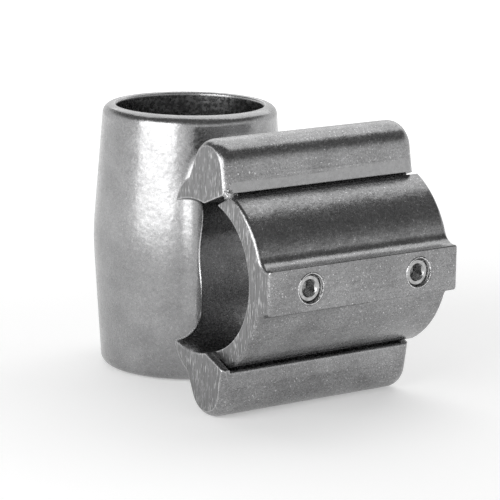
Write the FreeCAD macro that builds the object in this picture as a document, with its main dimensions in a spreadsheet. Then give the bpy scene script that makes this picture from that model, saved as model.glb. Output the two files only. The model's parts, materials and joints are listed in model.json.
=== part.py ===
"""Cross pipe clamp: an upright socket, and a saddle whose cap slides into two lips.

The frame is in millimetres. Z is the axis of the upright bore, the rail bore runs along X at mid height,
and the cap faces -Y. "Ahead" means the distance from the rail bore's axis towards the cap.
"""
import FreeCAD, Part
import math
import os

import Sketcher

# Driving sizes, in millimetres and degrees
SIZES = {
    # both bores, 48.26 mm nominal with 0.67 mm of clearance all round
    "bore_radius": 24.8,
    "web_thickness": 6.4,
    "bore_chamfer": 0.6,
    # upright socket, drafted both ways from a rounded belt
    "socket_half_height": 44.45,
    "socket_rim_wall": 4.4,
    "socket_draft": 4.0,
    "socket_belt": 7.0,
    "rim_round": 3.4,
    # neck that flares from the socket to the saddle
    "neck_half_height": 32.3,
    "neck_corner": 12.0,
    "neck_root_inset": 20.0,
    "neck_root_half_width": 15.0,
    "neck_flare_radius": 26.2,
    "neck_round": 7.0,
    # lips of the saddle
    "saddle_length": 76.2,
    "lip_reach": 15.9,
    "lip_height": 44.7,
    "lip_radius": 8.9,
    "lip_lean": 25.0,
    "lip_front_draft": 10.0,
    "lip_end_round": 4.6,
    "end_grinding": 0.8,
    "facet_distance": 16.45,
    "nose_height": 28.9,
    "mating_slope": 22.5,
    "stop_height": 1.0,
    "stop_thickness": 2.7,
    # cap
    "cap_wall": 6.55,
    "cap_length": 76.2,
    "cap_gap": 0.8,
    "cap_end_angle": 61.7,
    "cap_end_slope": 29.0,
    "cap_end_round": 1.3,
    # flat lands that carry the set screws
    "land_distance": 35.4,
    "land_half_width": 7.5,
    "land_fillet": 5.0,
    "land_edge_round": 0.6,
    "rear_land_half_height": 33.0,
    "rear_land_round": 2.5,
    # tongues of the cap and their grooves in the lips
    "tongue_front": 13.0,
    "tongue_thickness": 2.8,
    "tongue_height": 29.4,
    "tongue_inset": 3.9,
    "groove_clearance": 0.3,
    # set screws
    "screw_radius": 4.7625,
    "screw_length": 9.525,
    "screw_chamfer": 0.8,
    "screw_clearance": 0.08,
    "hex_across_flats": 4.7625,
    "hex_depth": 5.0,
    "cup_radius": 2.6,
    "cup_depth": 1.2,
    "front_screw_spacing": 43.6,
    "rear_screw_spacing": 44.0,
}

doc = FreeCAD.newDocument("cross_pipe_clamp")
sheet = doc.addObject("Spreadsheet::Sheet", "sizes")
for row, (alias, amount) in enumerate(SIZES.items(), start=1):
    sheet.set("A%d" % row, alias)
    sheet.set("B%d" % row, str(amount))
    sheet.setAlias("B%d" % row, alias)
doc.recompute()


def size(alias):
    """Expression that reads one driving size."""
    return "sizes." + alias


def number(expression):
    """Value of an expression now."""
    result = sheet.evalExpression(expression)
    return float(getattr(result, "Value", result))


# Sizes that follow from the driving ones
RAIL_OFFSET = "(2 * sizes.bore_radius + sizes.web_thickness)"
HALF_SADDLE = "(sizes.saddle_length / 2)"
CAP_RADIUS = "(sizes.bore_radius + sizes.cap_wall)"
CAP_STOP = "(sizes.stop_thickness - sizes.saddle_length / 2)"
CAP_CENTRE = "(%s + sizes.cap_gap + sizes.cap_length / 2)" % CAP_STOP
GROOVE_REAR = "(sizes.tongue_front - sizes.tongue_thickness - sizes.groove_clearance)"
GROOVE_FRONT = "(sizes.tongue_front + sizes.groove_clearance)"
HOLE_RADIUS = "(sizes.screw_radius + sizes.screw_clearance)"


def ahead(expression):
    """Y of a point that lies this far ahead of the rail bore's axis."""
    return "-%s - (%s)" % (RAIL_OFFSET, expression)


def new_sketch(body, name, role, offset="0"):
    """Sketch on one of the body's own origin planes, moved along the plane's normal."""
    sketch = body.newObject("Sketcher::SketchObject", name)
    plane = next(feature for feature in body.Origin.OriginFeatures if feature.Role == role)
    sketch.AttachmentSupport = [(plane, "")]
    sketch.MapMode = "FlatFace"
    sketch.setExpression("AttachmentOffset.Base.z", offset)
    return sketch


def bind(sketch, constraint, expression):
    """Add a dimension and tie it to an expression."""
    index = sketch.addConstraint(constraint)
    sketch.setExpression("Constraints[%d]" % index, expression)


def pin(sketch, geometry, position, x, y):
    """Hold a point at expressions x and y; the text 0 holds it on the axis."""
    if x == "0":
        sketch.addConstraint(Sketcher.Constraint("PointOnObject", geometry, position, -2))
    else:
        bind(sketch, Sketcher.Constraint("DistanceX", -1, 1, geometry, position, number(x)), x)
    if y == "0":
        sketch.addConstraint(Sketcher.Constraint("PointOnObject", geometry, position, -1))
    else:
        bind(sketch, Sketcher.Constraint("DistanceY", -1, 1, geometry, position, number(y)), y)


def arc_between(start, end, radius, turn):
    """Arc of under half a turn from start to end; turn is 1 for counter-clockwise and -1 for clockwise."""
    chord = end - start
    height = math.sqrt(radius ** 2 - (chord.Length / 2) ** 2)
    left = FreeCAD.Vector(-chord.y, chord.x, 0).normalize()
    centre = (start + end) / 2 + left * height * turn
    first, last = (start, end) if turn > 0 else (end, start)
    first_angle = math.atan2(first.y - centre.y, first.x - centre.x)
    last_angle = math.atan2(last.y - centre.y, last.x - centre.x)
    circle = Part.Circle(centre, FreeCAD.Vector(0, 0, 1), radius)
    return Part.ArcOfCircle(circle, first_angle, last_angle)


def outline(sketch, corners):
    """Closed outline. A corner (x, y) runs straight to the next, and (x, y, radius, turn) by an arc."""
    points = [FreeCAD.Vector(number(corner[0]), number(corner[1]), 0) for corner in corners]
    ends = []
    for index, corner in enumerate(corners):
        start = points[index]
        end = points[(index + 1) % len(points)]
        if len(corner) == 2:
            geometry = sketch.addGeometry(Part.LineSegment(start, end))
            ends.append((geometry, 1, 2))
        else:
            radius, turn = corner[2], corner[3]
            geometry = sketch.addGeometry(arc_between(start, end, number(radius), turn))
            ends.append((geometry, 1, 2) if turn > 0 else (geometry, 2, 1))
            bind(sketch, Sketcher.Constraint("Radius", geometry, number(radius)), radius)
    for index, (geometry, first, last) in enumerate(ends):
        following, following_first, _ = ends[(index + 1) % len(ends)]
        sketch.addConstraint(Sketcher.Constraint("Coincident", geometry, last, following, following_first))
        pin(sketch, geometry, first, corners[index][0], corners[index][1])


def rectangle(sketch, left, low, right, high):
    outline(sketch, [(left, low), (right, low), (right, high), (left, high)])


def circle(sketch, x, y, radius):
    """Circle held at its centre."""
    centre = FreeCAD.Vector(number(x), number(y), 0)
    geometry = sketch.addGeometry(Part.Circle(centre, FreeCAD.Vector(0, 0, 1), number(radius)))
    bind(sketch, Sketcher.Constraint("Radius", geometry, number(radius)), radius)
    pin(sketch, geometry, 3, x, y)


def pad(body, name, sketch, length, symmetric=False, reverse=False):
    feature = body.newObject("PartDesign::Pad", name)
    feature.Profile = sketch
    feature.SideType = "Symmetric" if symmetric else "One side"
    feature.Reversed = reverse
    feature.setExpression("Length", length)
    doc.recompute()
    return feature


def pocket(body, name, sketch, length=None):
    """Cut against the sketch's normal by a length, or right through both ways."""
    before = body.Shape.Volume
    feature = body.newObject("PartDesign::Pocket", name)
    feature.Profile = sketch
    if length is None:
        feature.SideType = "Symmetric"
        feature.Type = "ThroughAll"
    else:
        feature.setExpression("Length", length)
    doc.recompute()
    if not body.Shape.Volume < before:
        raise RuntimeError(name + " cuts nothing")
    return feature


def revolve(body, name, sketch):
    feature = body.newObject("PartDesign::Revolution", name)
    feature.Profile = sketch
    feature.ReferenceAxis = (sketch, ["V_Axis"])
    feature.Angle = 360
    doc.recompute()
    return feature


def dress(body, name, kind, property_name, expression, wanted):
    """Fillet or chamfer the edges of the body's tip that the test picks."""
    tip = body.Tip
    names = ["Edge%d" % (index + 1) for index, edge in enumerate(tip.Shape.Edges) if wanted(edge)]
    if not names:
        raise RuntimeError(name + " finds no edge")
    feature = body.newObject("PartDesign::" + kind, name)
    feature.Base = (tip, names)
    feature.setExpression(property_name, expression)
    doc.recompute()
    return feature


def middle(edge):
    """Point half way along an edge."""
    return edge.valueAt((edge.FirstParameter + edge.LastParameter) / 2)


def near(value, target):
    return abs(value - target) < 0.01


# Base casting
base = doc.addObject("PartDesign::Body", "base_casting")


def make_neck():
    """Block that flares along two arcs to beyond the saddle's ends, with its long edges rounded."""
    root = size("neck_root_half_width")
    flare = "(sizes.neck_root_half_width + sizes.neck_flare_radius)"
    flare_y = "-(sizes.neck_root_inset + sizes.neck_flare_radius)"
    front = ahead("sizes.lip_reach / 2")
    outer = size("saddle_length")
    plan = new_sketch(base, "neck_plan", "XY_Plane")
    outline(plan, [
        ("-" + outer, front),
        (outer, front),
        (outer, flare_y),
        (flare, flare_y, size("neck_flare_radius"), -1),
        (root, "-sizes.neck_root_inset"),
        ("-" + root, "-sizes.neck_root_inset", size("neck_flare_radius"), -1),
        ("-" + flare, flare_y),
        ("-" + outer, flare_y),
    ])
    pad(base, "neck", plan, "2 * sizes.neck_half_height", symmetric=True)

    def flared(edge):
        box = edge.BoundBox
        return box.XLength > 1 and box.YLength > 1

    dress(base, "neck_corners", "Fillet", "Radius", size("neck_corner"), flared)


def socket_radius(height):
    """Outer radius of the socket's drafted wall at a height above its middle."""
    rim = "(sizes.bore_radius + sizes.socket_rim_wall)"
    return "%s + (sizes.socket_half_height - (%s)) * tan(sizes.socket_draft)" % (rim, height)


def on_socket(point):
    """Whether a point lies on the socket's outer wall."""
    wall = number(socket_radius("%.9f" % abs(point.z)))
    return abs(math.hypot(point.x, point.y) - wall) < 0.3


def make_socket():
    top = size("socket_half_height")
    belt = size("socket_belt")
    belt_radius = "sizes.socket_belt / sin(sizes.socket_draft)"
    profile = new_sketch(base, "socket_profile", "XZ_Plane")
    outline(profile, [
        ("0", "-" + top),
        (socket_radius(top), "-" + top),
        (socket_radius(belt), "-" + belt, belt_radius, 1),
        (socket_radius(belt), belt),
        (socket_radius(top), top),
        ("0", top),
    ])
    revolve(base, "socket", profile)
    half_height = number(size("neck_half_height")) + 0.01

    def around_neck(edge):
        point = middle(edge)
        return point.y < 0 and abs(point.z) < half_height and on_socket(point)

    dress(base, "neck_blend", "Fillet", "Radius", size("neck_round"), around_neck)


def cut_ends(name, half_length):
    """Cut the neck and lips off square at both ends of the saddle."""
    sketch = new_sketch(base, name + "_outline", "XY_Plane")
    outer = "2 * sizes.saddle_length"
    front = ahead("2 * sizes.land_distance")
    rear = "-sizes.neck_root_inset"
    rectangle(sketch, half_length, front, outer, rear)
    rectangle(sketch, "-" + outer, front, "-" + half_length, rear)
    pocket(base, name, sketch)


def make_lips():
    """Both lips as one bar with rounded ends, made apart from the neck and then joined to it."""
    centre_ahead = "(sizes.lip_reach - sizes.lip_radius)"
    centre_height = "(sizes.lip_height - sizes.lip_radius)"
    foot = "(0.8 * sizes.bore_radius)"
    front_ahead = "(%s + sizes.lip_radius * cos(sizes.lip_front_draft))" % centre_ahead
    front_height = "(%s + sizes.lip_radius * sin(sizes.lip_front_draft))" % centre_height
    front_foot = "%s + (%s - %s) * tan(sizes.lip_front_draft)" % (front_ahead, front_height, foot)
    rear_ahead = "(%s - sizes.lip_radius * cos(sizes.lip_lean))" % centre_ahead
    rear_height = "(%s + sizes.lip_radius * sin(sizes.lip_lean))" % centre_height
    rear_foot = "%s - (%s - %s) * tan(sizes.lip_lean)" % (rear_ahead, rear_height, foot)
    bar = doc.addObject("PartDesign::Body", "lips")
    section = new_sketch(bar, "lip_section", "YZ_Plane")
    outline(section, [
        (ahead(front_foot), foot),
        (ahead(front_ahead), front_height, size("lip_radius"), -1),
        (ahead(rear_ahead), rear_height),
        (ahead(rear_foot), foot),
        (ahead(rear_foot), "-" + foot),
        (ahead(rear_ahead), "-" + rear_height, size("lip_radius"), -1),
        (ahead(front_ahead), "-" + front_height),
        (ahead(front_foot), "-" + foot),
    ])
    pad(bar, "lip_bar", section, "sizes.saddle_length + 2 * sizes.end_grinding", symmetric=True)

    def at_end(edge):
        return near(edge.BoundBox.XLength, 0)

    dress(bar, "lip_ends", "Fillet", "Radius", size("lip_end_round"), at_end)
    joined = base.newObject("PartDesign::Boolean", "joined_lips")
    joined.Type = "Fuse"
    joined.setObjects([bar])
    doc.recompute()


def machine_saddle():
    """Ground ends and noses, the rail bore, the opening for the cap and the grooves for its tongues."""
    cut_ends("ground_ends", HALF_SADDLE)
    far_ahead = "2 * sizes.land_distance"
    far_up = "2 * sizes.lip_height"
    facets = new_sketch(base, "facet_outline", "YZ_Plane")
    rectangle(facets, ahead(far_ahead), "-" + far_up, ahead(size("facet_distance")), far_up)
    pocket(base, "facets", facets)

    rail = new_sketch(base, "rail_circle", "YZ_Plane")
    circle(rail, ahead("0"), "0", size("bore_radius"))
    pocket(base, "rail_bore", rail)

    def mating_height(distance):
        return "(sizes.nose_height + (%s - sizes.facet_distance) * tan(sizes.mating_slope))" % distance

    def cut_opening(name, offset, rise, length):
        """Wedge between the lips; rise is how far its lower face stands in from the mating face."""
        sketch = new_sketch(base, name + "_outline", "YZ_Plane", offset)
        inner = mating_height("0")
        outer = mating_height(far_ahead)
        outline(sketch, [
            (ahead("0"), "%s - %s" % (rise, inner)),
            (ahead("0"), inner),
            (ahead(far_ahead), outer),
            (ahead(far_ahead), "%s - %s" % (rise, outer)),
        ])
        pocket(base, name, sketch, length)

    cut_opening("stop_opening", "0", size("stop_height"), None)
    cut_opening("cap_opening", HALF_SADDLE, "0", "sizes.saddle_length - sizes.stop_thickness")

    grooves = new_sketch(base, "groove_outlines", "YZ_Plane", HALF_SADDLE)
    top = "(sizes.tongue_height + sizes.groove_clearance)"
    inner = mating_height("0")
    rectangle(grooves, ahead(GROOVE_FRONT), inner, ahead(GROOVE_REAR), top)
    rectangle(grooves, ahead(GROOVE_FRONT), "-" + top, ahead(GROOVE_REAR), "-" + inner)
    blind_end = "(%s + sizes.tongue_inset - sizes.groove_clearance)" % CAP_STOP
    pocket(base, "grooves", grooves, "%s - %s" % (HALF_SADDLE, blind_end))


def machine_socket():
    """Rear land, upright bore and the holes for the rear screws."""
    land = new_sketch(base, "rear_land_outline", "XZ_Plane", "-sizes.bore_radius")
    half_width = size("land_half_width")
    straight = "(sizes.rear_land_half_height - sizes.land_half_width)"
    outline(land, [
        (half_width, "-" + straight),
        (half_width, straight, half_width, 1),
        ("0", size("rear_land_half_height"), half_width, 1),
        ("-" + half_width, straight),
        ("-" + half_width, "-" + straight, half_width, 1),
        ("0", "-" + size("rear_land_half_height"), half_width, 1),
    ])
    pad(base, "rear_land", land, "sizes.land_distance - sizes.bore_radius", reverse=True)

    def at_land_foot(edge):
        point = middle(edge)
        across = abs(point.x) < number(half_width) + 0.01
        along = abs(point.z) < number(size("rear_land_half_height")) + 0.01
        return across and along and point.y > 0 and on_socket(point)

    dress(base, "rear_land_foot", "Fillet", "Radius", size("rear_land_round"), at_land_foot)

    def on_rear_land(edge):
        box = edge.BoundBox
        return near(box.YLength, 0) and near(box.YMin, number(size("land_distance")))

    dress(base, "rear_land_edge", "Fillet", "Radius", size("land_edge_round"), on_rear_land)

    def at_rim(edge):
        box = edge.BoundBox
        return near(box.ZLength, 0) and near(abs(box.ZMin), number(size("socket_half_height")))

    dress(base, "rims", "Fillet", "Radius", size("rim_round"), at_rim)

    post = new_sketch(base, "post_circle", "XY_Plane")
    circle(post, "0", "0", size("bore_radius"))
    pocket(base, "post_bore", post)

    def at_mouth(edge):
        return at_rim(edge) and near(edge.BoundBox.XMax, number(size("bore_radius")))

    dress(base, "post_mouths", "Chamfer", "Size", size("bore_chamfer"), at_mouth)

    holes = new_sketch(base, "rear_holes", "XZ_Plane")
    for side in ("", "-"):
        circle(holes, "0", side + "(sizes.rear_screw_spacing / 2)", HOLE_RADIUS)
    pocket(base, "rear_screw_holes", holes, "2 * sizes.land_distance")


make_neck()
make_socket()
cut_ends("cast_ends", "(%s + sizes.end_grinding)" % HALF_SADDLE)
make_lips()
machine_saddle()
machine_socket()


# Cap
cap = doc.addObject("PartDesign::Body", "clamp_cap")


def make_cap_shell():
    """Curved shell with a flat land, run along the rail."""
    outer_ahead = "(%s * cos(sizes.cap_end_angle))" % CAP_RADIUS
    outer_height = "(%s * sin(sizes.cap_end_angle))" % CAP_RADIUS
    turn_in = "(sizes.cap_end_angle - sizes.cap_end_slope)"
    end_length = "(%s * cos(%s) - sqrt(sizes.bore_radius ^ 2 - (%s * sin(%s)) ^ 2))" % (
        CAP_RADIUS, turn_in, CAP_RADIUS, turn_in)
    inner_ahead = "(%s - %s * cos(sizes.cap_end_slope))" % (outer_ahead, end_length)
    inner_height = "(%s - %s * sin(sizes.cap_end_slope))" % (outer_height, end_length)
    corner = "sqrt(sizes.land_distance ^ 2 + sizes.land_half_width ^ 2)"
    hub = "(%s + sizes.land_fillet)" % CAP_RADIUS
    swing = "acos((%s ^ 2 + %s ^ 2 - sizes.land_fillet ^ 2) / (2 * %s * %s))" % (corner, hub, corner, hub)
    land_angle = "(atan(sizes.land_half_width / sizes.land_distance) + %s)" % swing
    foot_ahead = "(%s * cos(%s))" % (CAP_RADIUS, land_angle)
    foot_height = "(%s * sin(%s))" % (CAP_RADIUS, land_angle)
    section = new_sketch(cap, "cap_section", "YZ_Plane", CAP_CENTRE)
    outline(section, [
        (ahead(outer_ahead), outer_height, CAP_RADIUS, 1),
        (ahead(foot_ahead), foot_height, size("land_fillet"), -1),
        (ahead(size("land_distance")), size("land_half_width")),
        (ahead(size("land_distance")), "-" + size("land_half_width"), size("land_fillet"), -1),
        (ahead(foot_ahead), "-" + foot_height, CAP_RADIUS, 1),
        (ahead(outer_ahead), "-" + outer_height),
        (ahead(inner_ahead), "-" + inner_height, size("bore_radius"), -1),
        (ahead(inner_ahead), inner_height),
    ])
    pad(cap, "shell", section, size("cap_length"), symmetric=True)


def finish_cap():
    """Rounded outer edges at both ends, the tongues and the screw holes."""
    land_y = number(ahead(size("land_distance")))

    def along_land(edge):
        box = edge.BoundBox
        on_land = near(box.YMin, land_y) and near(box.YMax, land_y)
        return on_land and near(box.XLength, number(size("cap_length")))

    dress(cap, "land_edges", "Fillet", "Radius", size("land_edge_round"), along_land)
    outer = number(CAP_RADIUS)

    def outside(edge):
        point = middle(edge)
        flat = near(edge.BoundBox.XLength, 0)
        return flat and math.hypot(point.y + number(RAIL_OFFSET), point.z) > outer - 0.1

    dress(cap, "cap_ends", "Fillet", "Radius", size("cap_end_round"), outside)

    rear = "(sizes.tongue_front - sizes.tongue_thickness)"
    edge_ahead = "(%s * cos(sizes.cap_end_angle))" % CAP_RADIUS
    edge_top = "(%s * sin(sizes.cap_end_angle))" % CAP_RADIUS
    root = "(%s - (%s - %s) * tan(sizes.cap_end_slope) - 1)" % (edge_top, edge_ahead, rear)
    top = size("tongue_height")
    tongues = new_sketch(cap, "tongue_outlines", "YZ_Plane", CAP_CENTRE)
    rectangle(tongues, ahead(size("tongue_front")), root, ahead(rear), top)
    rectangle(tongues, ahead(size("tongue_front")), "-" + top, ahead(rear), "-" + root)
    pad(cap, "tongues", tongues, "sizes.cap_length - 2 * sizes.tongue_inset", symmetric=True)

    holes = new_sketch(cap, "front_holes", "XZ_Plane")
    for side in ("+", "-"):
        circle(holes, "%s %s sizes.front_screw_spacing / 2" % (CAP_CENTRE, side), "0", HOLE_RADIUS)
    pocket(cap, "front_screw_holes", holes)


make_cap_shell()
finish_cap()


def make_screw(label, x, y, z, tilt):
    """Socket set screw made along its own Z axis, outer end at zero, then tilted about X and placed."""
    body = doc.addObject("PartDesign::Body", label)
    length = size("screw_length")
    radius = size("screw_radius")
    bevel = size("screw_chamfer")
    profile = new_sketch(body, label + "_profile", "XZ_Plane")
    outline(profile, [
        ("0", "sizes.cup_depth - " + length),
        (size("cup_radius"), "-" + length),
        ("%s - %s" % (radius, bevel), "-" + length),
        (radius, "%s - %s" % (bevel, length)),
        (radius, "-" + bevel),
        ("%s - %s" % (radius, bevel), "0"),
        ("0", "0"),
    ])
    revolve(body, label + "_shank", profile)
    hexagon = new_sketch(body, label + "_hexagon", "XY_Plane")
    corner = "(sizes.hex_across_flats / 2 / cos(30))"
    across = "(sizes.hex_across_flats / 2)"
    outline(hexagon, [
        (corner, "0"),
        (corner + " / 2", across),
        ("-%s / 2" % corner, across),
        ("-" + corner, "0"),
        ("-%s / 2" % corner, "-" + across),
        (corner + " / 2", "-" + across),
    ])
    pocket(body, label + "_socket", hexagon, size("hex_depth"))
    body.Placement.Rotation = FreeCAD.Rotation(FreeCAD.Vector(1, 0, 0), tilt)
    for axis, expression in (("x", x), ("y", y), ("z", z)):
        body.setExpression("Placement.Base." + axis, expression)
    return body


OUTER_END = "(sizes.bore_radius + sizes.screw_length)"
FRONT_SPREAD = "sizes.front_screw_spacing / 2"
REAR_SPREAD = "sizes.rear_screw_spacing / 2"
screws = [
    make_screw("set_screw_front_left", CAP_CENTRE + " - " + FRONT_SPREAD, ahead(OUTER_END), "0", 90),
    make_screw("set_screw_front_right", CAP_CENTRE + " + " + FRONT_SPREAD, ahead(OUTER_END), "0", 90),
    make_screw("set_screw_rear_upper", "0", OUTER_END, REAR_SPREAD, -90),
    make_screw("set_screw_rear_lower", "0", OUTER_END, "-" + REAR_SPREAD, -90),
]

doc.recompute()
for item in doc.Objects:
    if "Invalid" in item.State or "Error" in item.State:
        raise RuntimeError("%s failed: %s" % (item.Name, item.State))
os.makedirs("parts", exist_ok=True)
for body in [base, cap] + screws:
    if body.Shape.isNull() or not body.Shape.isValid():
        raise RuntimeError(body.Label + " has no valid shape")
    body.Shape.exportStep("parts/%s.step" % body.Label)
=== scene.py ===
"""Looks of the cross pipe clamp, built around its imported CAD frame. Metres, in the CAD's own frame."""

import json
import math
from functools import partial
from typing import NamedTuple

import bmesh
import bpy
from mathutils import Matrix, Vector, noise


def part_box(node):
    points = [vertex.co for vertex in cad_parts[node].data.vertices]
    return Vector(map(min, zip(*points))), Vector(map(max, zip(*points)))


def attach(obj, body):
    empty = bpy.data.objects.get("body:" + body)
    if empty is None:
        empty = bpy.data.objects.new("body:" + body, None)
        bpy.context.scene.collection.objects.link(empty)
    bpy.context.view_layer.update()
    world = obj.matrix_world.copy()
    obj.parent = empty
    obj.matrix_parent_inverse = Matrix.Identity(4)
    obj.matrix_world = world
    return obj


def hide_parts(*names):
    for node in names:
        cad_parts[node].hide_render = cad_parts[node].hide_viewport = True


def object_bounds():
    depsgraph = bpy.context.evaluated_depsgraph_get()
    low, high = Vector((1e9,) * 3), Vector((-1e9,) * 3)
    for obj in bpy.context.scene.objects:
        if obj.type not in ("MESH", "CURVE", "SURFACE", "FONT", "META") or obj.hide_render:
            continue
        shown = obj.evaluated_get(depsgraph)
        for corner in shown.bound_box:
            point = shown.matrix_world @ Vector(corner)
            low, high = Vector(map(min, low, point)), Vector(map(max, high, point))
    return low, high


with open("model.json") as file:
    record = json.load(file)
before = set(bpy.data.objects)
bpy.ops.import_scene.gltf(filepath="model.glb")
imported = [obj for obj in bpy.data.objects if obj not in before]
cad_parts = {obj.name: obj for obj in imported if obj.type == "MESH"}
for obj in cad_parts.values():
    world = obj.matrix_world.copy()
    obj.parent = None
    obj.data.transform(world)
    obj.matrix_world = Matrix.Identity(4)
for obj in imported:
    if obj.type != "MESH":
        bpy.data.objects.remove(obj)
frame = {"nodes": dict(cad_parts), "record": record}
cad_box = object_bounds()
MM = 0.001


class Grain(NamedTuple):
    """One noise of a finish: the size of its features, its detail and roughness, and how it is stretched."""

    size: float
    detail: int
    roughness: float = 0.5
    stretch: tuple = None


# Places that the frame gives
RAIL = next(mount for mount in frame["record"]["mounts"] if mount["name"] == "rail_clamp")
RAIL_Y = RAIL["pos_m"][1]
BORE_RADIUS = RAIL["dims"]["r_mm"] * MM
LAND_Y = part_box("clamp_cap")[0].y

# Other places and sizes of the CAD's features
FACET_Y = RAIL_Y - 16.45 * MM
LAND_HALF_WIDTH = 7.5 * MM
HOLE_RADIUS = 4.8425 * MM

# Ends of the castings are ground: faces outside this X whose normals point along X
END_FACE_X = 33 * MM
END_FACE_NORMAL = (0.995, 0.999)

# Distances from the lips' front facet over which its smooth finish fades
FACET_FADE = (0.02 * MM, 0.06 * MM)

# Upper border of the smooth nose on the upper lip, whose lighter grey is partly a painted highlight: its
# lowest point, its bow to both sides and its blur
NOSE_LOW_X = -15 * MM
NOSE_LOW_TOP = 32.1 * MM
NOSE_BOW = 0.57
NOSE_BLUR = 0.15 * MM

# Painted shade: thin dark lines along the long edges of the cap's land
LINE_INSET = 0.2 * MM
LINE_FADE = (0.1 * MM, 0.32 * MM)
LINE_DEPTH = 0.7 * MM
LINE_SHADE_TONE = 0.5

# Burrs raised round the mouths of the tapped holes, near the outer ends of the screws
BURR_WIDTH = 0.65 * MM
BURR_REACH = 3 * MM
BURR_TONES = (0.1, 0.6)
BURR_HEIGHTS = (6.0, 12.0)

# Rounded edges, the turn of the normal that gets a painted highlight along the edges, and the painted shade
# of crevices
BASE_EDGE = 1.0 * MM
CAP_EDGE = 0.5 * MM
EDGE_SAMPLES = 8
EDGE_HIGHLIGHT_TURN = (0.93, 0.99)
EDGE_HIGHLIGHT_TONE = 0.3
CREVICE_REACH = 1.1 * MM
CREVICE_SAMPLES = 6
CREVICE_SHADE_RANGE = (0.2, 0.75)
CREVICE_SHADE_TONES = (0.65, 1.0)

# The casting's skin is coarse in front of the first place and finer behind the second; behind it the grey is
# also raised, a painted lightening of the socket's highlight
COARSE_SKIN_Y = -36 * MM
FINE_SKIN_Y = -24 * MM
FINE_SKIN_SHARE = 0.3
FINE_MOTTLE_AND_HIGHLIGHT = 1.14
FINE_GRIT = 0.98

# Noises of the castings
CLOUDS = Grain(11 * MM, 4)
DENTS = Grain(7 * MM, 2)
WAVES = Grain(2.8 * MM, 2)
PEEL = Grain(1.3 * MM, 3)
SHEEN = Grain(1.1 * MM, 3)
MOTTLE = Grain(0.9 * MM, 3, 0.65)
TEARS = Grain(0.9 * MM, 2)
GLINT_SPECKS = Grain(0.5 * MM, 1)
GRIT = Grain(0.34 * MM, 1)
STREAKS = Grain(0.9 * MM, 3, stretch=(0.12, 1.0, 1.0))
BRUSHING = Grain(0.35 * MM, 3, 0.6, stretch=(1.0, 1.0, 0.04))
SCRATCHES = Grain(0.3 * MM, 2, 0.6, stretch=(1.0, 1.0, 0.07))

# Parts of the noises' values that are used
NOISE_RANGE = (0.3, 0.7)
MOTTLE_RANGE = (0.32, 0.68)
GRIT_RANGE = (0.25, 0.6)
GLINT_RANGE = (0.66, 0.76)
SCRATCH_RANGE = (0.59, 0.67)
BURR_RANGE = (0.35, 0.65)

# Tones and roughness of the castings
CLOUD_TONES = (0.26, 0.32)
MOTTLE_TONES = (0.88, 1.12)
GRIT_TONES = (0.66, 1.06)
STREAK_TONES = (0.95, 1.05)
GLINT_TONE = 0.45
NOSE_TONES_WITH_HIGHLIGHT = (0.3, 0.34)
BRUSH_TONES = (0.17, 0.26)
SCRATCH_TONE = 0.55
BLUE_SHARE = 1.01
SKIN_ROUGHNESS = (0.2, 0.3)
GROUND_ROUGHNESS = (0.26, 0.42)

# Depth of the castings' relief, and the share of each noise in it on cast and on smooth faces
RELIEF = 0.06 * MM
PEEL_HEIGHT = 0.45
GRIT_HEIGHT = 0.24
WAVE_HEIGHT = 1.3
DENT_HEIGHT = 1.8
SMOOTH_DENT_HEIGHT = 0.6
SMOOTH_PEEL_HEIGHT = 0.25
BRUSH_HEIGHT = 0.8

# Tapped holes
TAPPED_MOTTLE = Grain(0.8 * MM, 3)
TAPPED_SHEEN = Grain(0.4 * MM, 2)
TAPPED_TONES = (0.42, 0.62)
TAPPED_ROUGHNESS = (0.2, 0.34)
RIDGE_WIDTH = 0.3 * MM

# Steel of the screws
STEEL_MOTTLE = Grain(0.9 * MM, 3)
STEEL_SHEEN = Grain(0.3 * MM, 2)
STEEL_GRAIN = Grain(0.4 * MM, 3)
STEEL_TONES = (0.38, 0.54)
STEEL_ROUGHNESS = (0.16, 0.3)
STEEL_RELIEF = 0.015 * MM

# Torn lump of metal under the left end of the upper lip, clear of the cap at every place of its slide
LUMP_MIDDLE = Vector((-36.9, -72.2, 28.7)) * MM
LUMP_SIZE = Vector((1.3, 1.7, 1.5)) * MM
LUMP_SIDES = (-38.05 * MM, -35.6 * MM)
LUMP_DIVISIONS = 5
LUMP_SHARP = 60

# Rates of the waves on the lump, and the height of each as a share of its size
LUMP_WAVES = {2.3: 0.5, 5.5: 0.3}

# Set screws of 3/8 inch and 16 threads an inch
SCREW_RADIUS = 4.7625 * MM
SCREW_LENGTH = 9.525 * MM
SCREW_END = BORE_RADIUS + SCREW_LENGTH
SCREW_BEVEL = 0.8 * MM
PITCH = 1.5875 * MM
CREST_RADIUS = 4.7 * MM
THREAD_DEPTH = 0.75 * MM
FLANK_SLOPE = 2.6
ROOT_FLAT = 0.2
HEX_FLAT = 2.38125 * MM
HEX_DEPTH = 5 * MM
HEX_POINT = 0.6 * MM
HEX_SIDE = math.pi / 3
SINK_RADIUS = 2.95 * MM
SINK_SLOPE = 1.2
CUP_RADIUS = 2.6 * MM
CUP_DEPTH = 1.2 * MM
SCREW_SHARP = 38

# Threads of the holes, from near the bore to near the land; their roots are sunk a little into the wall
HOLE_CREST = 4.725 * MM
HOLE_SINK = 0.01 * MM
HOLE_INNER = BORE_RADIUS + 0.3 * MM - SCREW_END
HOLE_OUTER = RAIL_Y - LAND_Y - 0.05 * MM - SCREW_END
HOLE_SHARP = 60

# Steps of the meshes round a turn and along a thread's pitch
TURN_STEPS = 72
SCREW_ROWS = 12
HOLE_ROWS = 14

# Each screw: the body that carries its hole, and the turn of its hex in degrees, in whole steps of the mesh
SCREWS = {
    "set_screw_front_left": ("cap", 35),
    "set_screw_front_right": ("cap", 40),
    "set_screw_rear_upper": ("casting", 10),
    "set_screw_rear_lower": ("casting", 50),
}

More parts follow.
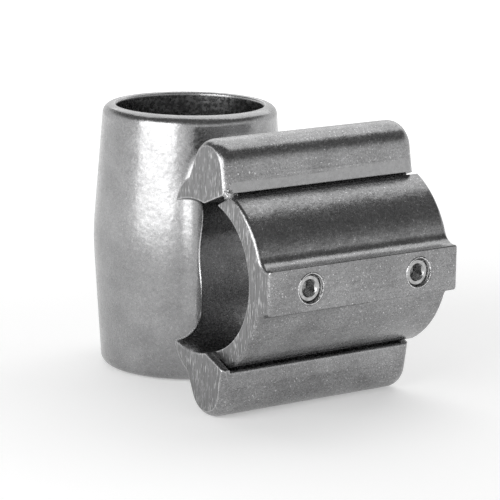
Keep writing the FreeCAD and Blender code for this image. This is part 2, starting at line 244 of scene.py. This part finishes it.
# Camera, from a fit of the model to the photograph
AZIMUTH, ELEVATION, ROLL = (math.radians(angle) for angle in (-36.914, 11.85, 0.916))
DISTANCE = 1.0
FOCAL_PIXELS = 2950.1
AIM_PIXELS = (-61.53, -17.05)
FRAME_PIXELS = 500
SENSOR_WIDTH = 36
CLIP_START = 0.05

# Floor: its half width, its gap under the part, its greys, and its glow by distance from the middle, dimmed
# close to the part as a painted shade
FLOOR_HALF = 6
FLOOR_GAP = 0.2 * MM
FLOOR_GRAIN = Grain(0.3, 3)
FLOOR_GREYS = (0.8, 0.84)
NEAR_FLOOR = (0.06, 0.2)
NEAR_GLOW_WITH_SHADE = (0.32, 0.36)
FAR_FLOOR = (0.15, 0.8)
FAR_GLOW = (0.0, 0.39)

# World: the Z of a direction where the horizon's light ends and where the sky's begins, and the light of each
SKY_HEIGHTS = (0.22, 0.55)
SKY_LIGHT = (1.0, 0.17)

# Lamps: place, point they face, width, height and brightness
LAMPS = {
    "overhead": ((0.35, 0.33, 0.65), (0.05, 0.05, 0), 1.1, 0.95, 1.3),
    "left": ((-0.76, -0.17, 0.2), (0, 0, 0), 0.74, 0.62, 3.4),
}


class Nodes:
    """Short ways to add nodes to one node tree."""

    def __init__(self, tree):
        self.tree = tree
        self.tree.nodes.clear()

    def add(self, kind, inputs=None, **settings):
        node = self.tree.nodes.new("ShaderNode" + kind)
        for name, value in settings.items():
            setattr(node, name, value)
        for name, value in (inputs or {}).items():
            self.feed(node.inputs[name], value)
        return node

    def feed(self, socket, value):
        if isinstance(value, bpy.types.NodeSocket):
            self.tree.links.new(value, socket)
        else:
            socket.default_value = value

    def math(self, operation, first, second=0.0):
        return self.add("Math", {0: first, 1: second}, operation=operation).outputs[0]

    def plus(self, first, second):
        return self.math("ADD", first, second)

    def minus(self, first, second):
        return self.math("SUBTRACT", first, second)

    def times(self, first, second):
        return self.math("MULTIPLY", first, second)

    def absolute(self, value):
        return self.math("ABSOLUTE", value)

    def ramp(self, value, low, high, to_low=0.0, to_high=1.0):
        """Smooth step of a value from one range to another."""
        names = ("Value", "From Min", "From Max", "To Min", "To Max")
        inputs = dict(zip(names, (value, low, high, to_low, to_high)))
        return self.add("MapRange", inputs, interpolation_type="SMOOTHSTEP").outputs["Result"]

    def fade(self, value, start, end):
        """Smooth step from 1 at the start to 0 at the end."""
        return self.ramp(value, start, end, 1.0, 0.0)

    def spread(self, value, amounts):
        """Usual range of a noise, spread from one amount to another."""
        return self.ramp(value, *NOISE_RANGE, *amounts)

    def mix(self, factor, first, second):
        return self.add("Mix", {0: factor, 2: first, 3: second}, data_type="FLOAT").outputs[0]

    def vector(self, operation, *vectors):
        return self.add("VectorMath", dict(enumerate(vectors)), operation=operation).outputs["Value"]

    def place(self):
        return self.add("TexCoord").outputs["Object"]

    def parts(self, vector):
        return self.add("SeparateXYZ", {"Vector": vector}).outputs

    def stretched(self, place, scale):
        return self.add("Mapping", {"Vector": place, "Scale": scale}).outputs["Vector"]

    def noise(self, place, grain):
        if grain.stretch:
            place = self.stretched(place, grain.stretch)
        inputs = {"Vector": place, "Scale": 1 / grain.size}
        inputs.update({"Detail": grain.detail, "Roughness": grain.roughness})
        return self.add("TexNoise", inputs).outputs["Fac"]

    def bump(self, height, distance, **normal):
        return self.add("Bump", {"Height": height, "Distance": distance, **normal}).outputs["Normal"]

    def grey(self, tone, blue=None):
        inputs = {"Red": tone, "Green": tone, "Blue": blue or tone}
        return self.add("CombineColor", inputs).outputs["Color"]

    def metal(self, color, roughness, normal):
        inputs = {"Base Color": color, "Metallic": 1.0, "Roughness": roughness, "Normal": normal}
        shader = self.add("BsdfPrincipled", inputs)
        self.add("OutputMaterial", {"Surface": shader.outputs["BSDF"]})


def new_material(name):
    material = bpy.data.materials.new(name)
    material.use_nodes = True
    return material, Nodes(material.node_tree)


def add_object(name, data):
    added = bpy.data.objects.new(name, data)
    bpy.context.scene.collection.objects.link(added)
    return added


def screw_axis(node):
    """Middle of a screw node, the Y of its outer end and whether it points to the front."""
    low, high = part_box(node)
    front = high.y < 0
    return (low + high) / 2, low.y if front else high.y, front


def ground_ends(n, spot, normal):
    """1 on the ground ends of the castings, 0 elsewhere."""
    sideways = n.ramp(n.absolute(n.parts(normal)["X"]), *END_FACE_NORMAL)
    return n.times(sideways, n.math("GREATER_THAN", n.absolute(spot["X"]), END_FACE_X))


def smooth_nose_with_highlight(n, spot, facet):
    """1 on the front facet of the upper lip, below its bowed border, which follows a painted highlight."""
    along = n.minus(spot["X"], NOSE_LOW_X)
    border = n.plus(NOSE_LOW_TOP, n.times(n.times(along, along), NOSE_BOW))
    below = n.fade(n.minus(spot["Z"], border), -NOSE_BLUR, NOSE_BLUR)
    return n.times(n.times(below, facet), n.math("GREATER_THAN", spot["Z"], 0.0))


def land_shade_lines(n, spot):
    """1 on the thin lines of painted shade along the long edges of the cap's land."""
    off_line = n.absolute(n.minus(n.absolute(spot["Z"]), LAND_HALF_WIDTH - LINE_INSET))
    return n.times(n.fade(off_line, *LINE_FADE), n.math("LESS_THAN", spot["Y"], LAND_Y + LINE_DEPTH))


def burr_rings(n, place, spot):
    """Metal raised round the tapped holes: 1 at a hole's edge, falling to 0 outside the ring."""
    flat = n.stretched(place, (1.0, 0.0, 1.0))
    rings = 0.0
    for node in SCREWS:
        middle, outer_end = screw_axis(node)[:2]
        away = n.vector("DISTANCE", flat, (middle.x, 0, middle.z))
        ring_height = n.fade(away, HOLE_RADIUS, HOLE_RADIUS + BURR_WIDTH)
        same_side = n.math("LESS_THAN", n.absolute(n.minus(spot["Y"], outer_end)), BURR_REACH)
        rings = n.math("MAXIMUM", rings, n.times(ring_height, same_side))
    return rings


def cast_tone(n, place, coarse, grit):
    """Grey of the tumbled skin: clouds, mottle, grit, faint streaks and bright specks that are painted
    glints.
    """
    mottle = n.ramp(n.noise(place, MOTTLE), *MOTTLE_RANGE, *MOTTLE_TONES)
    glints = n.ramp(n.noise(place, GLINT_SPECKS), *GLINT_RANGE, 0.0, GLINT_TONE)
    tone = n.spread(n.noise(place, CLOUDS), CLOUD_TONES)
    # On the finer skin the mottle gives way to a raised grey, a painted lightening of the socket's highlight
    tone = n.times(tone, n.mix(coarse, FINE_MOTTLE_AND_HIGHLIGHT, mottle))
    tone = n.times(tone, n.mix(coarse, FINE_GRIT, n.ramp(grit, *GRIT_RANGE, *GRIT_TONES)))
    tone = n.times(tone, n.spread(n.noise(place, STREAKS), STREAK_TONES))
    # Painted glints: bright specks added to the grey of the coarse skin
    return n.plus(tone, n.times(glints, coarse))


def ground_tone(n, place, brushing):
    """Grey of the ground ends: brushing with brighter scratches."""
    scratches = n.ramp(n.noise(place, SCRATCHES), *SCRATCH_RANGE)
    return n.plus(n.spread(brushing, BRUSH_TONES), n.times(scratches, SCRATCH_TONE))


def cast_aluminium(name, edge_radius):
    """Tumbled casting with ground ends, a smooth nose, rounded edges and burrs round its holes; painted
    highlights on edges, nose and specks, painted shade in crevices and along the land.
    """
    material, n = new_material(name)
    place = n.place()
    spot = n.parts(place)
    geometry = n.add("NewGeometry").outputs
    ground = ground_ends(n, spot, geometry["True Normal"])
    facet = n.fade(n.absolute(n.minus(spot["Y"], FACET_Y)), *FACET_FADE)
    burrs = burr_rings(n, place, spot)
    coarse = n.ramp(spot["Y"], COARSE_SKIN_Y, FINE_SKIN_Y, 1.0, FINE_SKIN_SHARE)
    edge = n.add("Bevel", {"Radius": edge_radius}, samples=EDGE_SAMPLES).outputs["Normal"]
    edge_highlight = n.fade(n.vector("DOT_PRODUCT", edge, geometry["Normal"]), *EDGE_HIGHLIGHT_TURN)
    openness = n.add("AmbientOcclusion", {"Distance": CREVICE_REACH}, samples=CREVICE_SAMPLES)
    openness.only_local = True
    shade = openness.outputs["AO"]
    peel = n.noise(place, PEEL)
    grit = n.noise(place, GRIT)
    dents = n.noise(place, DENTS)
    brushing = n.noise(place, BRUSHING)

    tone = cast_tone(n, place, coarse, grit)
    # Smooth nose: its own smoother finish, made lighter as a painted highlight
    tone = n.mix(smooth_nose_with_highlight(n, spot, facet), tone, n.spread(peel, NOSE_TONES_WITH_HIGHLIGHT))
    tone = n.mix(ground, tone, ground_tone(n, place, brushing))
    # Painted highlight: the rounded edges are made lighter, except in crevices
    tone = n.plus(tone, n.times(n.times(edge_highlight, shade), EDGE_HIGHLIGHT_TONE))
    tone = n.plus(tone, n.times(burrs, n.ramp(peel, *BURR_RANGE, *BURR_TONES)))
    # Painted shade: the grey is darker where ambient occlusion finds a crevice
    tone = n.times(tone, n.ramp(shade, *CREVICE_SHADE_RANGE, *CREVICE_SHADE_TONES))
    # Painted shade lines along the land's edges
    tone = n.times(tone, n.mix(land_shade_lines(n, spot), 1.0, LINE_SHADE_TONE))
    color = n.grey(tone, blue=n.times(tone, BLUE_SHARE))
    skin_roughness = n.spread(n.noise(place, SHEEN), SKIN_ROUGHNESS)
    roughness = n.mix(ground, skin_roughness, n.spread(brushing, GROUND_ROUGHNESS))

    cast_height = n.plus(n.times(peel, PEEL_HEIGHT), n.times(n.times(grit, coarse), GRIT_HEIGHT))
    cast_height = n.plus(cast_height, n.times(n.noise(place, WAVES), WAVE_HEIGHT))
    cast_height = n.plus(cast_height, n.times(dents, DENT_HEIGHT))
    smooth_height = n.plus(n.times(dents, SMOOTH_DENT_HEIGHT), n.times(peel, SMOOTH_PEEL_HEIGHT))
    height = n.mix(n.math("MAXIMUM", ground, facet), cast_height, smooth_height)
    height = n.plus(height, n.times(n.times(brushing, ground), BRUSH_HEIGHT))
    height = n.plus(height, n.times(burrs, n.spread(n.noise(place, TEARS), BURR_HEIGHTS)))
    n.metal(color, roughness, n.bump(height, RELIEF, Normal=edge))
    return material


def cut_thread():
    """Freshly tapped aluminium, brighter than the cast skin, with fine ridges round the hole."""
    material, n = new_material("cut_thread")
    place = n.place()
    color = n.grey(n.spread(n.noise(place, TAPPED_MOTTLE), TAPPED_TONES))
    roughness = n.spread(n.noise(place, TAPPED_SHEEN), TAPPED_ROUGHNESS)
    # The ridges' heights are metres already, so the bump's distance is 1
    ridges = n.math("PINGPONG", n.parts(place)["Y"], RIDGE_WIDTH)
    n.metal(color, roughness, n.bump(ridges, 1.0))
    return material


def screw_steel():
    """Bright steel with a fine mottle."""
    material, n = new_material("screw_steel")
    place = n.place()
    color = n.grey(n.spread(n.noise(place, STEEL_MOTTLE), STEEL_TONES))
    roughness = n.spread(n.noise(place, STEEL_SHEEN), STEEL_ROUGHNESS)
    n.metal(color, roughness, n.bump(n.noise(place, STEEL_GRAIN), STEEL_RELIEF))
    return material


def dress(node, material):
    """Give a node of the frame a material."""
    mesh = frame["nodes"][node].data
    mesh.materials.clear()
    mesh.materials.append(material)


def thread_height(turn, along):
    """Height of a thread from its root, 0 to 1, at a turn and a distance along its axis."""
    phase = (along / PITCH - turn / (2 * math.pi)) % 1
    return min(max((0.5 - abs(phase - 0.5)) * FLANK_SLOPE - ROOT_FLAT, 0), 1)


def steady(amount):
    """The same amount at every turn."""
    return lambda turn: amount


def ring(form, radius_at, height_at):
    """Ring of points round Z whose radius and height may change with the turn."""
    points = []
    for index in range(TURN_STEPS):
        turn = 2 * math.pi * index / TURN_STEPS
        radius = radius_at(turn)
        points.append(form.verts.new((radius * math.cos(turn), radius * math.sin(turn), height_at(turn))))
    return points


def closed_grid(form, rings):
    """Quads between rings of equal length, each closed on itself; a ring of one point ends in a fan."""
    for first, second in zip(rings, rings[1:]):
        count = max(len(first), len(second))
        for index in range(count):
            after = (index + 1) % count
            corners = [first[index % len(first)], first[after % len(first)],
                       second[after % len(second)], second[index % len(second)]]
            kept = [corner for place, corner in enumerate(corners) if corner not in corners[:place]]
            form.faces.new(kept)


def finished_mesh(form, name, material, sharp_degrees):
    """Object made from a form, smooth but for edges sharper than an angle."""
    bmesh.ops.recalc_face_normals(form, faces=form.faces)
    mesh = bpy.data.meshes.new(name)
    form.to_mesh(mesh)
    form.free()
    mesh.shade_smooth()
    mesh.set_sharp_from_angle(angle=math.radians(sharp_degrees))
    mesh.materials.append(material)
    return add_object(name, mesh)


def thread_radius(height, turn):
    """Radius of a screw's thread, cut back by the bevels of its two ends."""
    bevel = SCREW_RADIUS - SCREW_BEVEL + min(-height, height + SCREW_LENGTH)
    return min(CREST_RADIUS - THREAD_DEPTH * (1 - thread_height(turn, height)), bevel)


def hex_radius(spin, turn):
    """Radius of a screw's hex socket that is turned by a spin."""
    return HEX_FLAT / math.cos((turn - spin) % HEX_SIDE - HEX_SIDE / 2)


def sink_height(spin, turn):
    """Height at which the countersunk mouth meets the hex socket."""
    return SINK_SLOPE * (hex_radius(spin, turn) - SINK_RADIUS)


def screw_piece(name, spin, material):
    """Set screw along its own Z, outer end at zero: threads, a countersunk hex socket and a cup point."""
    form = bmesh.new()
    socket = partial(hex_radius, spin)
    rows = int(SCREW_LENGTH / PITCH * SCREW_ROWS)
    rings = [[form.verts.new((0, 0, CUP_DEPTH - SCREW_LENGTH))]]
    rings.append(ring(form, steady(CUP_RADIUS), steady(-SCREW_LENGTH)))
    for row in range(rows + 1):
        height = SCREW_LENGTH * (row / rows - 1)
        rings.append(ring(form, partial(thread_radius, height), steady(height)))
    rings.append(ring(form, steady(SINK_RADIUS), steady(0)))
    rings.append(ring(form, socket, partial(sink_height, spin)))
    rings.append(ring(form, socket, steady(-HEX_DEPTH)))
    rings.append([form.verts.new((0, 0, -HEX_DEPTH - HEX_POINT))])
    closed_grid(form, rings)
    return finished_mesh(form, name, material, SCREW_SHARP)


def hole_radius(height, turn):
    """Radius of a tapped hole's thread."""
    return HOLE_RADIUS + HOLE_SINK - (HOLE_RADIUS - HOLE_CREST) * (1 - thread_height(turn, height))


def hole_thread(name, material):
    """Threads on a hole's wall, in the clearance round its screw, along the screw's own Z."""
    form = bmesh.new()
    rows = int((HOLE_OUTER - HOLE_INNER) / PITCH * HOLE_ROWS)
    rings = []
    for row in range(rows + 1):
        height = HOLE_INNER + (HOLE_OUTER - HOLE_INNER) * row / rows
        rings.append(ring(form, partial(hole_radius, height), steady(height)))
    closed_grid(form, rings)
    return finished_mesh(form, name, material, HOLE_SHARP)


def lip_lump(material):
    """Torn, lumpy burr that hangs from the corner of the upper lip."""
    form = bmesh.new()
    bmesh.ops.create_icosphere(form, subdivisions=LUMP_DIVISIONS, radius=1)
    for vert in form.verts:
        away = vert.co.normalized()
        reach = 1 + sum(height * noise.noise(away * rate) for rate, height in LUMP_WAVES.items())
        vert.co = LUMP_MIDDLE + away * LUMP_SIZE * reach
        vert.co.x = min(max(vert.co.x, LUMP_SIDES[0]), LUMP_SIDES[1])
    return finished_mesh(form, "lip_lump", material, LUMP_SHARP)


def place_on_axis(piece, node):
    """Move a piece made along Z onto the axis of a screw node, with Z pointing out of the part."""
    middle, outer_end, front = screw_axis(node)
    tilt = Matrix.Rotation(math.radians(90 if front else -90), 4, "X")
    piece.data.transform(Matrix.Translation((middle.x, outer_end, middle.z)) @ tilt)


def make_camera():
    """Camera at the photograph's viewing angle, with its framing."""
    across = math.cos(ELEVATION)
    back = Vector((math.sin(AZIMUTH) * across, -math.cos(AZIMUTH) * across, math.sin(ELEVATION)))
    level = Vector((math.cos(AZIMUTH), math.sin(AZIMUTH), 0))
    upright = back.cross(level)
    right = level * math.cos(ROLL) + upright * math.sin(ROLL)
    up = upright * math.cos(ROLL) - level * math.sin(ROLL)
    turn = Matrix((right, up, back)).transposed()
    data = bpy.data.cameras.new("camera")
    data.sensor_width = SENSOR_WIDTH
    data.lens = SENSOR_WIDTH * FOCAL_PIXELS / FRAME_PIXELS
    data.clip_start = CLIP_START
    camera = add_object("camera", data)
    aside = -AIM_PIXELS[0] / FOCAL_PIXELS * DISTANCE
    above = AIM_PIXELS[1] / FOCAL_PIXELS * DISTANCE
    camera.matrix_world = Matrix.Translation(turn @ Vector((aside, above, DISTANCE))) @ turn.to_4x4()
    bpy.context.scene.camera = camera


def floor_material():
    """Pale matte floor with a glow that grows with distance and is dimmed close to the part as painted shade;
    it keeps the part's shadow.
    """
    material, n = new_material("floor")
    place = n.place()
    path = n.add("LightPath").outputs
    seen = n.math("MAXIMUM", path["Is Camera Ray"], path["Is Glossy Ray"])
    seen = n.math("MAXIMUM", seen, path["Is Transmission Ray"])
    away = n.vector("LENGTH", place)
    # The glow is lowest close to the part, a painted shade round it
    lightness = n.plus(n.ramp(away, *NEAR_FLOOR, *NEAR_GLOW_WITH_SHADE), n.ramp(away, *FAR_FLOOR, *FAR_GLOW))
    matte = n.add("BsdfDiffuse", {"Color": n.grey(n.spread(n.noise(place, FLOOR_GRAIN), FLOOR_GREYS))})
    glow = n.add("Emission", {"Strength": n.times(seen, lightness)})
    both = n.add("AddShader", {0: matte.outputs[0], 1: glow.outputs[0]})
    n.add("OutputMaterial", {"Surface": both.outputs[0]})
    return material


def make_floor():
    mesh = bpy.data.meshes.new("floor")
    form = bmesh.new()
    bmesh.ops.create_grid(form, x_segments=1, y_segments=1, size=FLOOR_HALF)
    form.to_mesh(mesh)
    form.free()
    mesh.materials.append(floor_material())
    floor = add_object("floor", mesh)
    floor.location.z = cad_box[0][2] - FLOOR_GAP


def make_world():
    """Studio that is lighter near the horizon than overhead."""
    world = bpy.data.worlds.new("studio")
    world.use_nodes = True
    bpy.context.scene.world = world
    n = Nodes(world.node_tree)
    height = n.parts(n.add("TexCoord").outputs["Generated"])["Z"]
    strength = n.ramp(height, *SKY_HEIGHTS, *SKY_LIGHT)
    background = n.add("Background", {"Color": (1, 1, 1, 1), "Strength": strength})
    n.add("OutputWorld", {"Surface": background.outputs[0]})


def softbox(name, place, target, width, height, radiance):
    """Rectangular lamp of a given brightness, turned towards a point."""
    data = bpy.data.lights.new(name, "AREA")
    data.shape = "RECTANGLE"
    data.size = width
    data.size_y = height
    data.energy = radiance * math.pi * width * height
    lamp = add_object(name, data)
    lamp.location = place
    lamp.rotation_euler = (Vector(target) - Vector(place)).to_track_quat("-Z", "Y").to_euler()


aluminium = cast_aluminium("base_aluminium", BASE_EDGE)
tapped = cut_thread()
steel = screw_steel()
dress("base_casting", aluminium)
dress("clamp_cap", cast_aluminium("cap_aluminium", CAP_EDGE))

lump = lip_lump(aluminium)
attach(lump, "casting")

for node, (carrier, spin) in SCREWS.items():
    dress(node, steel)
    screw = screw_piece(node + "_threaded", math.radians(spin), steel)
    place_on_axis(screw, node)
    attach(screw, node)
    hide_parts(node)
    wall = hole_thread(node + "_hole", tapped)
    place_on_axis(wall, node)
    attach(wall, carrier)

make_camera()
make_floor()
make_world()
for lamp_name, setup in LAMPS.items():
    softbox(lamp_name, *setup)
bpy.context.scene.view_settings.view_transform = "Standard"
